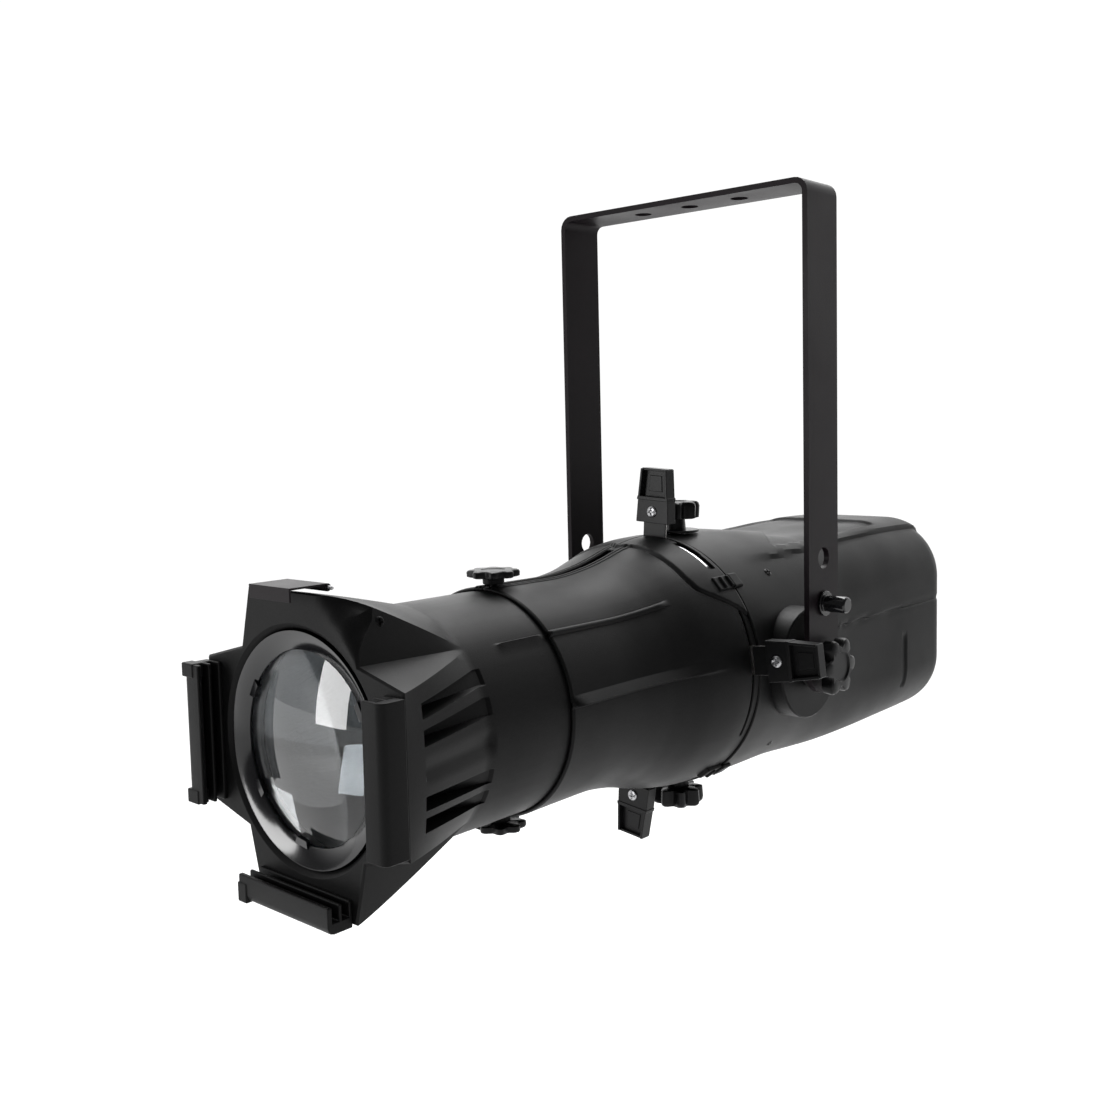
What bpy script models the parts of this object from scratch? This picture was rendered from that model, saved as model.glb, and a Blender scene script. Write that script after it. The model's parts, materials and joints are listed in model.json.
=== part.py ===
"""Ellipsoidal (profile) spotlight hanging from its yoke.

Metres, +Z up. The origin is the centre of the yoke's clamp face. The light leaves along -Y, and
+X is on the right as seen from the front. Every piece is placed from the point where the tilt
axis crosses the optical axis, so the positions named below are measured from that point: along
the optical axis (y, backwards is positive) and across it (x, z or a radius).
"""

import math

import bmesh
import bpy
from mathutils import Matrix, Vector

GAP = 0.0003                # clearance between pieces that rest on each other
HALF_TURN = math.pi

# Yoke: a flat bar bent to a U
YOKE_HEIGHT = 0.3355        # tilt axis to clamp face
YOKE_INSIDE = 0.1063        # half of the width between the arms
YOKE_THICK = 0.004
YOKE_WIDTH = 0.040
YOKE_BEND = 0.010           # outer bend radius
CLAMP_HOLE = 0.0065         # radius
CLAMP_PITCH = 0.0435
ARM_HOLE_Z = 0.0755
ARM_HOLE = 0.0075
ARM_SCREW_Z = 0.0435
YOKE_FACE = YOKE_INSIDE + YOKE_THICK

# Pivot
BOLT_R = 0.0060
BOLT_HOLE = 0.0063
BOLT_HEAD_X = 0.0793
BOLT_SEAT_X = 0.0848
BOSS_R = 0.0395
BOSS_X = 0.1000
KNOB_X = YOKE_FACE + 0.0009

# Rear housing: y, half width, half height, corner radius, height of the section's centre
WALL = 0.003
REAR_MIDDLE = -0.0005
HOUSING = (
    (-0.0520, 0.0905, 0.0905, 0.0885, 0.0),
    (-0.0150, 0.0905, 0.0905, 0.0885, 0.0),
    (0.0250, 0.0885, 0.0865, 0.0780, 0.0),
    (0.0550, 0.0850, 0.0845, 0.0680, -0.0015),
    (0.0850, 0.0825, 0.0830, 0.0600, -0.0030),
    (0.1800, 0.0820, 0.0835, 0.0570, -0.0010),
    (0.2440, 0.0815, 0.0825, 0.0550, REAR_MIDDLE),
    (0.2520, 0.0795, 0.0805, 0.0540, REAR_MIDDLE),
    (0.2565, 0.0745, 0.0755, 0.0500, REAR_MIDDLE),
)
SEAM_Z = 0.0150
CORNER_STEPS = 6

# Rear panel and what it carries
PANEL_Y = 0.2505
PANEL_THICK = 0.0020
PANEL_HALF, PANEL_CORNER = 0.0750, 0.0500
DISPLAY = (0.0, 0.0400, 0.0460, 0.0220)          # x, z, width, height
BUTTON_X = (-0.0270, -0.0090, 0.0090, 0.0270)
BUTTON_Z = 0.0150
BUTTON_R = 0.0045
SOCKET_X = 0.0210
SOCKET_Z = -0.0140
INLET_Z = -0.0460
SOCKET_SIZE = 0.0260
FUSE_R = 0.0075

# Inside the housing
BULKHEAD_Y = -0.0140
BULKHEAD_R = 0.0864
LED_Y = 0.0560
SINK_HALF = 0.0520
SINK_Y = (0.0580, 0.1260)
FAN_Y = 0.1400
FAN_DEPTH = 0.0250
FAN_HALF = 0.0550

# Barrel: y and outer radius, front to back
BARREL = (
    (-0.2257, 0.0733),
    (-0.2225, 0.0727),
    (-0.1550, 0.0727),
    (-0.1335, 0.0760),
    (-0.1175, 0.0797),
    (-0.0955, 0.0858),
    (-0.0725, 0.0892),
    (-0.0523, 0.0900),
)
BARREL_BORE = 0.0706
BARREL_WALL = 0.0025
SLOT_WIDTH = 0.0056
FOCUS_SLOT = (-0.2205, -0.1000)
GATE_R = 0.0370
NECK_R = 0.0860
NECK_END = -0.0160

# Shutters
BLADE_T = 0.0006
BLADE_PITCH = 0.0023
FIRST_BLADE_Y = -0.0637
SHUTTER_SLOT = (-0.0650, -0.0553)
SHUTTER_SLOT_ANGLE = math.radians(34)
BLADE_INNER = 0.0080
BLADE_SHOULDER = 0.0430
BLADE_HALF = 0.0380
NECK_HALF = 0.0100
BLADE_END = 0.1170
GRIP_R = (0.1010, 0.1180, 0.1400)                # foot, shelf and tip of a grip
SHUTTERS = (                                     # name, place round the axis, rest angle, rest slide
    ("left", 270.0, 0.0, 0.0),
    ("bottom", 180.0, 6.5, -0.0070),
    ("right", 90.0, -6.3, 0.0025),
    ("top", 0.0, 3.7, 0.0),
)

# Lens tube and its cross-shaped front
TUBE_R = 0.0697
TUBE_BORE = 0.0665
TUBE_END = -0.1290
TAPER_END = -0.2935
HOLDER_Y = -0.3675
ARM_END = 0.0870
ARM_HALF = 0.0430
NOTCH = 0.0520
LENS_R = 0.0655
FRONT_LENS_Y = (-0.3690, -0.3565, -0.3535)       # crown, front edge, flat back
REAR_LENS_Y = (-0.3390, -0.3300, -0.3270, -0.3180)
FOCUS_Y = -0.2165
COLLAR_NECK_R = 0.0024
COLLAR_R = 0.0068
COLLAR_FOOT = 0.0739
COLLAR_TOP = 0.0780

# Colour-frame channels on the front
LIP_Y = -0.3835
LIP_INNER = 0.0730
WEB_INNER = 0.0815
CHANNEL_OUTER = 0.0880
CHANNEL_HALF = 0.0406
SLOT_DEPTH = 0.0044
FRONT_LIP = 0.0030
MIDDLE_LIP = 0.0020
LATCH_HALF = 0.0180
LATCH_AXIS = (-0.3585, 0.0895)                   # y and z of its pin
LATCH_LIP_Z = 0.0842

# Lock and focus knobs
ROTATION_KNOB_Y = -0.0255
KNOB_LOBES = 5

FINISHES = {                                     # colour, metallic, roughness
    "black_paint": ((0.018, 0.018, 0.020), 0.0, 0.55),
    "yoke_paint": ((0.022, 0.018, 0.022), 0.0, 0.50),
    "black_plastic": ((0.012, 0.012, 0.013), 0.0, 0.45),
    "steel": ((0.62, 0.62, 0.63), 1.0, 0.30),
    "aluminium": ((0.72, 0.73, 0.74), 1.0, 0.40),
    "mirror": ((0.90, 0.90, 0.92), 1.0, 0.05),
    "glass": ((0.95, 0.97, 0.98), 0.0, 0.02),
    "board": ((0.02, 0.16, 0.06), 0.0, 0.50),
    "display": ((0.03, 0.05, 0.08), 0.0, 0.12),
    "rubber": ((0.015, 0.015, 0.015), 0.0, 0.85),
}

# Turns that carry a piece built along local Z (or drawn in local XY) to a world axis
TURN = {"X": (0.0, HALF_TURN / 2, 0.0), "Y": (-HALF_TURN / 2, 0.0, 0.0), "Z": (0.0, 0.0, 0.0)}
DRAWN = {
    "X": (HALF_TURN / 2, 0.0, HALF_TURN / 2),     # drawn in (y, z), thickness along X
    "Y": (HALF_TURN / 2, 0.0, 0.0),               # drawn in (x, z), thickness along Y
    "Z": (0.0, 0.0, 0.0),                         # drawn in (x, y), thickness along Z
}


def clear_scene():
    for obj in list(bpy.data.objects):
        bpy.data.objects.remove(obj, do_unlink=True)
    for collection in list(bpy.data.collections):
        bpy.data.collections.remove(collection)


def new_collection(name):
    collection = bpy.data.collections.new(name)
    bpy.context.scene.collection.children.link(collection)
    return collection


clear_scene()
PARTS = new_collection("ellipsoidal_spotlight")
CUTTERS = new_collection("cutters")


def new_empty(name, location=(0, 0, 0), rotation=(0, 0, 0), parent=None):
    empty = bpy.data.objects.new(name, None)
    PARTS.objects.link(empty)
    empty.parent = parent
    empty.location = location
    empty.rotation_euler = rotation
    return empty


TILT_AXIS = new_empty("tilt_axis", (0, 0, -YOKE_HEIGHT))


def finish_of(name, finish):
    colour, metallic, roughness = FINISHES[finish]
    material = bpy.data.materials.new(f"{name}_{finish}")
    material.use_nodes = True
    shader = material.node_tree.nodes["Principled BSDF"]
    shader.inputs["Base Color"].default_value = (*colour, 1.0)
    shader.inputs["Metallic"].default_value = metallic
    shader.inputs["Roughness"].default_value = roughness
    if finish == "glass":
        shader.inputs["Transmission Weight"].default_value = 1.0
    return material


def place(name, mesh, finish, location, rotation, parent):
    """Makes the object. With no finish it is a cutter: hidden in a render and drawn as wire."""
    obj = bpy.data.objects.new(name, mesh)
    obj.parent = parent or TILT_AXIS
    obj.location = location
    obj.rotation_euler = rotation
    if finish:
        PARTS.objects.link(obj)
        mesh.materials.append(finish_of(name, finish))
        mesh.shade_smooth()
        mesh.set_sharp_from_angle(angle=math.radians(35))
    else:
        CUTTERS.objects.link(obj)
        obj.hide_render = True
        obj.display_type = "WIRE"
    return obj


def turned(name, profile, finish, axis="Y", steps=48, location=(0, 0, 0), parent=None):
    """A turned piece. The profile lists (place along the axis, radius); with no point on the axis
    it closes on itself and makes a ring."""
    points = [(radius, along) for along, radius in profile]
    pairs = zip(points, points[1:] + points[:1])
    if sum(a[0] * b[1] - b[0] * a[1] for a, b in pairs) > 0:
        points.reverse()
    is_ring = min(radius for radius, _ in points) > 0
    edges = [(i, i + 1) for i in range(len(points) - 1)]
    if is_ring:
        edges.append((len(points) - 1, 0))
    mesh = bpy.data.meshes.new(name)
    mesh.from_pydata([(radius, 0.0, along) for radius, along in points], edges, [])
    obj = place(name, mesh, finish, location, TURN[axis], parent)
    screw = obj.modifiers.new("turn", "SCREW")
    screw.axis = "Z"
    screw.angle = 2 * HALF_TURN
    screw.steps = steps
    screw.render_steps = steps
    screw.use_merge_vertices = True
    screw.merge_threshold = 0.00001
    screw.use_smooth_shade = True
    return obj


def loft(name, rings, finish, hollow=False, location=(0, 0, 0), rotation=(0, 0, 0), parent=None):
    """A skin through rings of equal point counts. A hollow one joins its last ring to its first."""
    bm = bmesh.new()
    loops = [[bm.verts.new(point) for point in ring] for ring in rings]
    count = len(loops[0])
    pairs = list(zip(loops, loops[1:]))
    if hollow:
        pairs.append((loops[-1], loops[0]))
    else:
        bm.faces.new(loops[0])
        bm.faces.new(loops[-1])
    for one, two in pairs:
        for i in range(count):
            j = (i + 1) % count
            bm.faces.new((one[i], one[j], two[j], two[i]))
    bmesh.ops.recalc_face_normals(bm, faces=bm.faces)
    mesh = bpy.data.meshes.new(name)
    bm.to_mesh(mesh)
    bm.free()
    return place(name, mesh, finish, location, rotation, parent)


def plate(name, outlines, thickness, finish, axis="Z", location=(0, 0, 0), parent=None):
    """A flat piece drawn as closed outlines, holes after the outer one, centred on its location."""
    curve = bpy.data.curves.new(name, "CURVE")
    curve.dimensions = "2D"
    curve.fill_mode = "BOTH"
    curve.extrude = thickness / 2
    for outline in outlines:
        spline = curve.splines.new("POLY")
        spline.points.add(len(outline) - 1)
        for point, (u, v) in zip(spline.points, outline):
            point.co = (u, v, 0.0, 1.0)
        spline.use_cyclic_u = True
    drawn = bpy.data.objects.new(f"{name}_outline", curve)
    bpy.context.scene.collection.objects.link(drawn)
    graph = bpy.context.evaluated_depsgraph_get()
    mesh = bpy.data.meshes.new_from_object(drawn.evaluated_get(graph))
    bpy.data.objects.remove(drawn)
    bpy.data.curves.remove(curve)
    bm = bmesh.new()
    bm.from_mesh(mesh)
    bmesh.ops.remove_doubles(bm, verts=bm.verts, dist=0.00001)
    bmesh.ops.recalc_face_normals(bm, faces=bm.faces)
    bm.to_mesh(mesh)
    bm.free()
    mesh.name = name
    mesh.materials.clear()
    return place(name, mesh, finish, location, DRAWN[axis], parent)


def box(name, low, high, finish, parent=None):
    bm = bmesh.new()
    size = [b - a for a, b in zip(low, high)]
    bmesh.ops.create_cube(bm, size=1.0, matrix=Matrix.Diagonal((*size, 1.0)))
    mesh = bpy.data.meshes.new(name)
    bm.to_mesh(mesh)
    bm.free()
    centre = [(a + b) / 2 for a, b in zip(low, high)]
    return place(name, mesh, finish, centre, (0, 0, 0), parent)


def cut(obj, cutter, operation="DIFFERENCE"):
    boolean = obj.modifiers.new(cutter.name, "BOOLEAN")
    boolean.operation = operation
    boolean.object = cutter
    boolean.solver = "EXACT"


def drill(obj, radius, axis, centre, length, steps=16, parent=None):
    """Cuts a round hole of this radius through the piece."""
    bm = bmesh.new()
    bmesh.ops.create_cone(
        bm, cap_ends=True, segments=steps, radius1=radius, radius2=radius, depth=length
    )
    mesh = bpy.data.meshes.new(f"hole_in_{obj.name}")
    bm.to_mesh(mesh)
    bm.free()
    cut(obj, place(mesh.name, mesh, None, centre, TURN[axis], parent))


def circle(radius, steps=24, centre=(0.0, 0.0), start=0.0, turn=2 * HALF_TURN):
    """Points of a circle, or of an arc with both its ends."""
    count = steps if turn == 2 * HALF_TURN else steps + 1
    angles = [start + turn * i / steps for i in range(count)]
    return [(centre[0] + radius * math.cos(a), centre[1] + radius * math.sin(a)) for a in angles]


def rectangle(x, z, width, height):
    half_w, half_h = width / 2, height / 2
    return [
        (x - half_w, z - half_h),
        (x + half_w, z - half_h),
        (x + half_w, z + half_h),
        (x - half_w, z + half_h),
    ]


def rounded(half_x, half_z, radius, steps=CORNER_STEPS, centre=(0.0, 0.0)):
    """A rounded rectangle as (x, z) points, starting on the +X side."""
    points = []
    for quarter, (sx, sz) in enumerate(((1, 1), (-1, 1), (-1, -1), (1, -1))):
        middle = (centre[0] + sx * (half_x - radius), centre[1] + sz * (half_z - radius))
        points += circle(radius, steps, middle, quarter * HALF_TURN / 2, HALF_TURN / 2)
    return points


def housing_rings(grow=0.0, last=None):
    """The housing's sections, each grown outwards by this much."""
    return [
        [Vector((x, y, z)) for x, z in rounded(hx + grow, hz + grow, r + grow, centre=(0, mid))]
        for y, hx, hz, r, mid in HOUSING[:last]
    ]


def build_yoke():
    outer, inner = YOKE_FACE, YOKE_INSIDE
    top = YOKE_HEIGHT
    quarter = HALF_TURN / 2
    outline = [(outer, -YOKE_WIDTH / 2)]
    outline += circle(YOKE_BEND, 5, (outer - YOKE_BEND, top - YOKE_BEND), 0.0, quarter)
    outline += circle(YOKE_BEND, 5, (YOKE_BEND - outer, top - YOKE_BEND), quarter, quarter)
    outline += [(-outer, -YOKE_WIDTH / 2), (-inner, -YOKE_WIDTH / 2)]
    bend = YOKE_BEND - YOKE_THICK
    outline += circle(bend, 5, (bend - inner, top - YOKE_BEND), 2 * quarter, -quarter)
    outline += circle(bend, 5, (inner - bend, top - YOKE_BEND), quarter, -quarter)
    outline += [(inner, -YOKE_WIDTH / 2)]
    yoke = plate("yoke", [outline], YOKE_WIDTH, "yoke_paint", "Y")
    half = YOKE_WIDTH / 2
    side = circle(half, 12, (0.0, 0.0), 2 * quarter, 2 * quarter)
    side += [(half + 0.001, 0.0), (half + 0.001, top + 0.001), (-half - 0.001, top + 0.001),
             (-half - 0.001, 0.0)]
    cut(yoke, plate("yoke_side_outline", [side], 0.3, None, "X"), "INTERSECT")
    for x in (-CLAMP_PITCH, 0.0, CLAMP_PITCH):
        drill(yoke, CLAMP_HOLE, "Z", (x, 0.0, top), 0.02)
    for z, radius in ((0.0, BOLT_HOLE), (ARM_HOLE_Z, ARM_HOLE), (ARM_SCREW_Z, 0.0042)):
        drill(yoke, radius, "X", (0.0, 0.0, z), 0.3)


def build_side(side, sign):
    """The pivot on one side: spacer and thumb screw on the yoke, boss, bolt and knob."""
    def along(*places):
        return [(sign * x, radius) for x, radius in places]

    turned(
        f"friction_spacer_{side}",
        along(
            (BOSS_X + GAP, BOLT_HOLE),
            (BOSS_X + GAP, 0.017),
            (YOKE_INSIDE - GAP, 0.017),
            (YOKE_INSIDE - GAP, BOLT_HOLE),
        ),
        "rubber", "X", 20,
    )
    turned(
        f"arm_screw_{side}",
        along(
            (YOKE_INSIDE - 0.002, 0.0), (YOKE_INSIDE - 0.002, 0.0038),
            (YOKE_FACE + GAP, 0.0038), (YOKE_FACE + GAP, 0.0090),
            (YOKE_FACE + 0.0022, 0.0090), (YOKE_FACE + 0.0022, 0.0058),
            (YOKE_FACE + 0.0178, 0.0058), (YOKE_FACE + 0.0187, 0.0050),
            (YOKE_FACE + 0.0187, 0.0),
        ),
        "yoke_paint", "X", 14, (0.0, 0.0, ARM_SCREW_Z),
    )
    boss = turned(
        f"pivot_boss_{side}",
        along(
            (0.0700, BOLT_HOLE),
            (0.0700, BOSS_R),
            (BOSS_X - 0.001, BOSS_R),
            (BOSS_X, BOSS_R - 0.001),
            (BOSS_X, BOLT_HOLE),
        ),
        "black_paint", "X", 32,
    )
    cut(boss, bpy.data.objects["housing_envelope"])
    turned(
        f"pivot_bolt_{side}",
        along(
            (BOLT_HEAD_X, 0.0), (BOLT_HEAD_X, 0.0095), (BOLT_SEAT_X, 0.0095),
            (BOLT_SEAT_X, BOLT_R), (YOKE_FACE + 0.0005, BOLT_R), (YOKE_FACE + 0.0005, 0.0),
        ),
        "steel", "X", 16,
    )
    lobed_knob(
        f"tilt_lock_knob_{side}", "X",
        ((KNOB_X, 0.0100, 0.0), (KNOB_X + 0.0035, 0.0100, 0.0), (KNOB_X + 0.0040, 0.0185, 0.0016),
         (KNOB_X + 0.0115, 0.0190, 0.0018), (KNOB_X + 0.0133, 0.0165, 0.0014)),
        (0.0, 0.0, 0.0), sign,
    )


def lobed_knob(name, axis, stations, location, sign=1, parent=None):
    """A hand knob: (place, radius, lobe height) along its axis, outwards where sign is 1."""
    steps = KNOB_LOBES * 4
    rings = []
    for along, radius, lobe in stations:
        ring = []
        for i in range(steps):
            angle = 2 * HALF_TURN * i / steps
            reach = radius + lobe * math.cos(KNOB_LOBES * angle)
            ring.append(Vector((reach * math.cos(angle), reach * math.sin(angle), sign * along)))
        rings.append(ring)
    return loft(name, rings, "black_plastic", False, location, TURN[axis], parent)


def build_housing():
    inner = [
        [Vector((x, y, z)) for x, z in rounded(hx - WALL, hz - WALL, r - WALL, centre=(0, mid))]
        for y, hx, hz, r, mid in HOUSING
    ]
    rings = housing_rings() + inner[::-1]
    reach = 0.4
    loft("housing_envelope", housing_rings(GAP, 6), None)
    for name, keep_above in (("housing_upper_shell", True), ("housing_lower_shell", False)):
        shell = loft(name, rings, "black_paint", hollow=True)
        if keep_above:
            away = box("below_seam", (-reach, -reach, -reach), (reach, reach, SEAM_Z + GAP / 2), None)
        else:
            away = box("above_seam", (-reach, -reach, SEAM_Z - GAP / 2), (reach, reach, reach), None)
        cut(shell, away)
        if not keep_above:
            drill(shell, BOLT_HOLE, "X", (0.0, 0.0, 0.0), 0.3)
        side = 1 if keep_above else -1
        drill(shell, 0.0033, "Z", (0.0, ROTATION_KNOB_Y, side * 0.0900), 0.02, 12)
    for name, sign in (("top", 1), ("bottom", -1)):
        build_rotation_knob(name, sign)
    build_inside()
    build_rear_panel()


def build_rotation_knob(name, sign):
    inner = 0.0873
    lobed_knob(
        f"rotation_lock_knob_{name}", "Z",
        ((inner, 0.0020, 0.0), (inner + 0.0040, 0.0028, 0.0), (inner + 0.0042, 0.0180, 0.0),
         (inner + 0.0058, 0.0180, 0.0), (inner + 0.0060, 0.0085, 0.0),
         (inner + 0.0140, 0.0085, 0.0), (inner + 0.0145, 0.0165, 0.0015),
         (inner + 0.0255, 0.0170, 0.0017), (inner + 0.0272, 0.0145, 0.0014)),
        (0.0, ROTATION_KNOB_Y, 0.0), sign,
    )


def build_inside():
    """The light engine, its cooling and its electronics."""
    turned(
        "front_bulkhead",
        ((BULKHEAD_Y, 0.0600), (BULKHEAD_Y, BULKHEAD_R),
         (BULKHEAD_Y + 0.0020, BULKHEAD_R), (BULKHEAD_Y + 0.0020, 0.0600)),
        "steel", steps=32,
    )
    outside, inside = [], []
    for i in range(5):
        share = i / 4
        y = LED_Y - 0.0060 - 0.0560 * share
        radius = 0.0200 + 0.0370 * math.sin(share * HALF_TURN / 2)
        outside.append((y, radius + 0.0015))
        inside.append((y, radius))
    turned("ellipsoidal_reflector", outside + inside[::-1], "mirror", steps=24)
    turned(
        "led_module",
        ((LED_Y - 0.0040, 0.0), (LED_Y - 0.0035, 0.0120), (LED_Y - 0.0010, 0.0150),
         (LED_Y - 0.0010, 0.0320), (LED_Y + 0.0015, 0.0320), (LED_Y + 0.0015, 0.0)),
        "board", steps=24,
    )
    build_heatsink()
    build_fan()
    box("driver_module", (-0.045, 0.1740, -0.0660), (0.045, 0.2240, -0.0300), "aluminium")
    box("control_board", (-0.036, 0.2320, 0.0080), (0.036, 0.2336, 0.0600), "board")


def build_heatsink():
    fins, base, back = 11, 0.0080, SINK_Y[1] - SINK_Y[0]
    pitch = 2 * SINK_HALF / (fins - 0.5)
    outline = [(-SINK_HALF, 0.0)]
    for i in range(fins):
        left = -SINK_HALF + i * pitch
        outline += [(left, back), (left + pitch / 2, back)]
        if i < fins - 1:
            outline += [(left + pitch / 2, base), (left + pitch, base)]
    outline.append((SINK_HALF, 0.0))
    plate("heatsink", [outline], 2 * SINK_HALF, "aluminium", "Z", (0.0, SINK_Y[0], 0.0))


def build_fan():
    frame = plate(
        "fan_frame",
        [rounded(FAN_HALF, FAN_HALF, 0.005, 2), circle(0.0515, 32)],
        FAN_DEPTH, "black_plastic", "Y", (0.0, FAN_Y + FAN_DEPTH / 2, 0.0),
    )
    back = FAN_Y + FAN_DEPTH
    for name, half_x, half_z in (("strut_across", 0.053, 0.002), ("strut_up", 0.002, 0.053)):
        strut = box(name, (-half_x, back - 0.004, -half_z), (half_x, back - 0.001, half_z), None)
        cut(frame, strut, "UNION")
    blades, hub, tip = 7, 0.0200, 0.0490
    outline = []
    for i in range(blades):
        start = 2 * HALF_TURN * i / blades
        sweep = 2 * HALF_TURN / blades
        outline += circle(hub, 2, (0, 0), start, sweep * 0.40)
        outline += circle(tip, 3, (0, 0), start + sweep * 0.45, sweep * 0.50)
    plate("fan_rotor", [outline], 0.0150, "black_plastic", "Y", (0.0, FAN_Y + 0.0110, 0.0))


def build_rear_panel():
    middle = PANEL_Y + PANEL_THICK / 2
    clear = 0.0005
    holes = [rectangle(*DISPLAY)]
    holes += [circle(BUTTON_R + clear, 16, (x, BUTTON_Z)) for x in BUTTON_X]
    body = SOCKET_SIZE - 0.004
    sockets = (("data_in_socket", -SOCKET_X, SOCKET_Z), ("data_out_socket", SOCKET_X, SOCKET_Z),
               ("power_inlet", -SOCKET_X, INLET_Z))
    holes += [rectangle(x, z, body + 2 * clear, body + 2 * clear) for _, x, z in sockets]
    holes.append(circle(FUSE_R - 0.001 + clear, 16, (SOCKET_X, INLET_Z)))
    outer = rounded(PANEL_HALF, PANEL_HALF, PANEL_CORNER, 5, (0.0, REAR_MIDDLE))
    plate("rear_panel", [outer, *holes], PANEL_THICK, "black_paint", "Y", (0.0, middle, 0.0))
    x, z, width, height = DISPLAY
    plate("display_window", [rectangle(x, z, width - 2 * GAP, height - 2 * GAP)], 0.0015,
          "display", "Y", (0.0, middle, 0.0))
    for number, x in enumerate(BUTTON_X, 1):
        back = PANEL_Y + PANEL_THICK
        turned(
            f"menu_button_{number}",
            ((PANEL_Y - 0.0020, 0.0), (PANEL_Y - 0.0020, BUTTON_R + 0.0013),
             (PANEL_Y - GAP, BUTTON_R + 0.0013), (PANEL_Y - GAP, BUTTON_R),
             (back + 0.0020, BUTTON_R), (back + 0.0025, BUTTON_R - 0.0006),
             (back + 0.0025, 0.0)),
            "rubber", steps=16, location=(x, 0.0, BUTTON_Z),
        )
    for name, x, z in sockets:
        build_socket(name, x, z, body)
    back = PANEL_Y + PANEL_THICK
    turned(
        "fuse_holder",
        ((PANEL_Y - 0.0150, 0.0), (PANEL_Y - 0.0150, FUSE_R - 0.001), (back + GAP, FUSE_R - 0.001),
         (back + GAP, FUSE_R), (back + 0.0070, FUSE_R), (back + 0.0070, 0.0)),
        "black_plastic", steps=20, location=(SOCKET_X, 0.0, INLET_Z),
    )


def build_socket(name, x, z, body):
    """A panel socket: flange outside, body through the panel, and a recess for the plug."""
    back = PANEL_Y + PANEL_THICK
    half, flange = body / 2, SOCKET_SIZE / 2
    stations = ((PANEL_Y - 0.0160, half), (back + GAP, half), (back + GAP, flange),
                (back + 0.0020, flange))
    rings = [
        [Vector((u, y, v)) for u, v in rectangle(0.0, 0.0, 2 * size, 2 * size)]
        for y, size in stations
    ]
    socket = loft(name, rings, "black_plastic", location=(x, 0.0, z))
    if name == "power_inlet":
        recess = box(f"{name}_recess", (x - 0.0085, back - 0.0130, z - 0.0065),
                     (x + 0.0085, back + 0.01, z + 0.0065), None)
        cut(socket, recess)
    else:
        drill(socket, 0.0085, "Y", (x, back, z), 0.0260)


def build_barrel():
    outer = list(BARREL)
    inner = [(y, max(BARREL_BORE, radius - BARREL_WALL)) for y, radius in BARREL[1:]]
    profile = outer + inner[::-1] + [(BARREL[0][0], BARREL_BORE)]
    reach = 0.4
    for name, sign in (("right", 1), ("left", -1)):
        shell = turned(f"barrel_{name}_shell", profile, "black_paint", steps=44)
        far, near = sorted((-sign * reach, sign * GAP / 2))
        cut(shell, box(f"other_side_of_{name}", (far, -reach, -reach), (near, reach, reach), None))
        slot = box(f"focus_slot_{name}", (-SLOT_WIDTH / 2, FOCUS_SLOT[0], -0.1),
                   (SLOT_WIDTH / 2, FOCUS_SLOT[1], 0.1), None)
        cut(shell, slot)
        for label, place_angle, _, _ in SHUTTERS:
            if label == ("left" if sign > 0 else "right"):
                continue
            cut(shell, shutter_slot(f"{name}_{label}", math.radians(place_angle)))
    turned(
        "gate_ring",
        ((-0.0550, GATE_R), (-0.0550, NECK_R), (NECK_END, NECK_R), (NECK_END, NECK_R - 0.0030),
         (-0.0530, NECK_R - 0.0030), (-0.0530, GATE_R)),
        "aluminium", steps=36,
    )
    for number, (label, place_angle, rest_angle, rest_slide) in enumerate(SHUTTERS):
        y = FIRST_BLADE_Y + number * BLADE_PITCH
        build_shutter(label, y, math.radians(place_angle + rest_angle), rest_slide)


def shutter_slot(name, middle):
    """A cutter for the slot that one shutter's neck sweeps: a sector about the optical axis."""
    start = HALF_TURN / 2 - middle - SHUTTER_SLOT_ANGLE
    outline = circle(0.1100, 8, (0, 0), start, 2 * SHUTTER_SLOT_ANGLE)
    outline += circle(0.0700, 8, (0, 0), start + 2 * SHUTTER_SLOT_ANGLE, -2 * SHUTTER_SLOT_ANGLE)
    depth = SHUTTER_SLOT[1] - SHUTTER_SLOT[0]
    return plate(f"shutter_slot_{name}", [outline], depth, None, "Y",
                 (0.0, sum(SHUTTER_SLOT) / 2, 0.0))


def build_shutter(label, y, angle, slide):
    """A shutter drawn pointing up, then turned to its place: guide ring, blade and grip."""
    axis = new_empty(f"shutter_axis_{label}", (0.0, y, 0.0), (0.0, angle, 0.0), TILT_AXIS)
    carriage = new_empty(f"shutter_slide_{label}", (0.0, 0.0, slide), parent=axis)
    guide_y = BLADE_PITCH / 2 - 0.00005
    plate(f"shutter_guide_{label}", [circle(0.0800, 28), circle(0.0420, 20)], 0.0005,
          "steel", "Y", (0.0, guide_y, 0.0), axis)
    blade = [
        (-BLADE_HALF, BLADE_INNER), (BLADE_HALF, BLADE_INNER), (BLADE_HALF, BLADE_SHOULDER),
        (NECK_HALF, BLADE_SHOULDER + 0.008), (NECK_HALF, BLADE_END),
        (-NECK_HALF, BLADE_END), (-NECK_HALF, BLADE_SHOULDER + 0.008),
        (-BLADE_HALF, BLADE_SHOULDER),
    ]
    plate(f"shutter_blade_{label}", [blade], BLADE_T, "steel", "Y", parent=carriage)
    foot, shelf, tip = GRIP_R
    stations = (                                  # radius, half width, front, back
        (foot, 0.0142, -0.0050, 0.0050), (shelf, 0.0132, -0.0050, 0.0050),
        (shelf + 0.0005, 0.0131, -0.0020, 0.0050), (tip, 0.0112, -0.0020, 0.0045),
    )
    rings = [
        [Vector((-half, front, z)), Vector((half, front, z)),
         Vector((half, back, z)), Vector((-half, back, z))]
        for z, half, front, back in stations
    ]
    grip = loft(f"shutter_grip_{label}", rings, "black_plastic", parent=carriage)
    pocket = box(f"blade_pocket_{label}", (-NECK_HALF - GAP, -0.0006, foot - 0.01),
                 (NECK_HALF + GAP, 0.0006, BLADE_END + GAP), None, carriage)
    cut(grip, pocket)


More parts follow.
